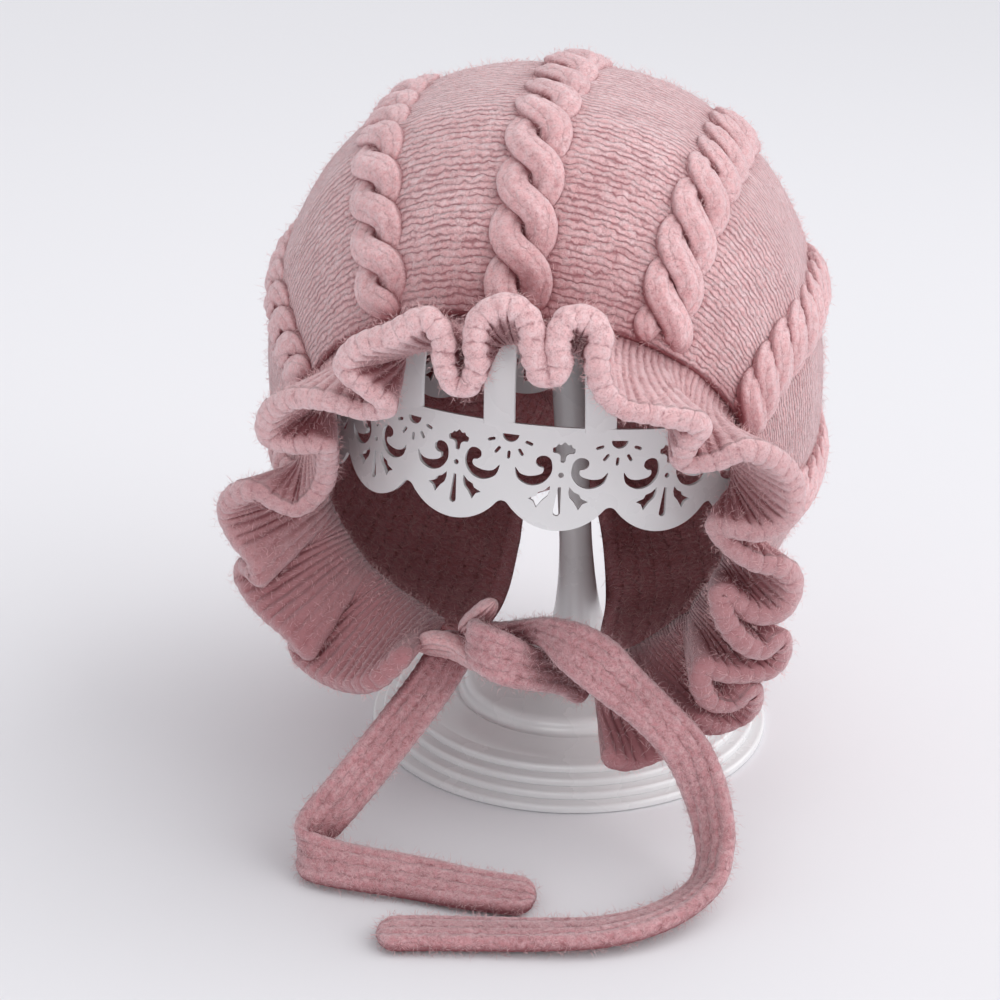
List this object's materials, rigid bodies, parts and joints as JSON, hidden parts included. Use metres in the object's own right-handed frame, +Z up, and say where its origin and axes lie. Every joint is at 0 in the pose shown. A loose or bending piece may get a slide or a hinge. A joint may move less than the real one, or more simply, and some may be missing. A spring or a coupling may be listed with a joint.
{
  "type": "knitted baby hood hat on hat stand",
  "caption": "Cable-knit baby hood with a frilled face edge and two ties, resting on a round metal hat stand with a cut-work band.",
  "frame": {"origin": "centre of the underside of the stand's round base, on the surface it stands on", "axes": "+Z up along the stand, -Y towards the viewer and the hood's face opening, +X to the viewer's right"},
  "size_m": [0.1758, 0.2157, 0.2049],
  "materials": {
    "hood_knit": "soft brushed wool knit, dusty rose",
    "frill_knit": "soft ribbed wool knit, dusty rose",
    "tie_knit": "wool knit band, deep rose",
    "white_paint": "gloss white paint"
  },
  "bodies": {
    "root": {"hood_shell": "hood_knit", "face_frill": "frill_knit", "left_tie": "tie_knit", "right_tie": "tie_knit", "stand_base": "white_paint", "stand_post": "white_paint", "stand_cage": "white_paint"}
  },
  "joints": []
}
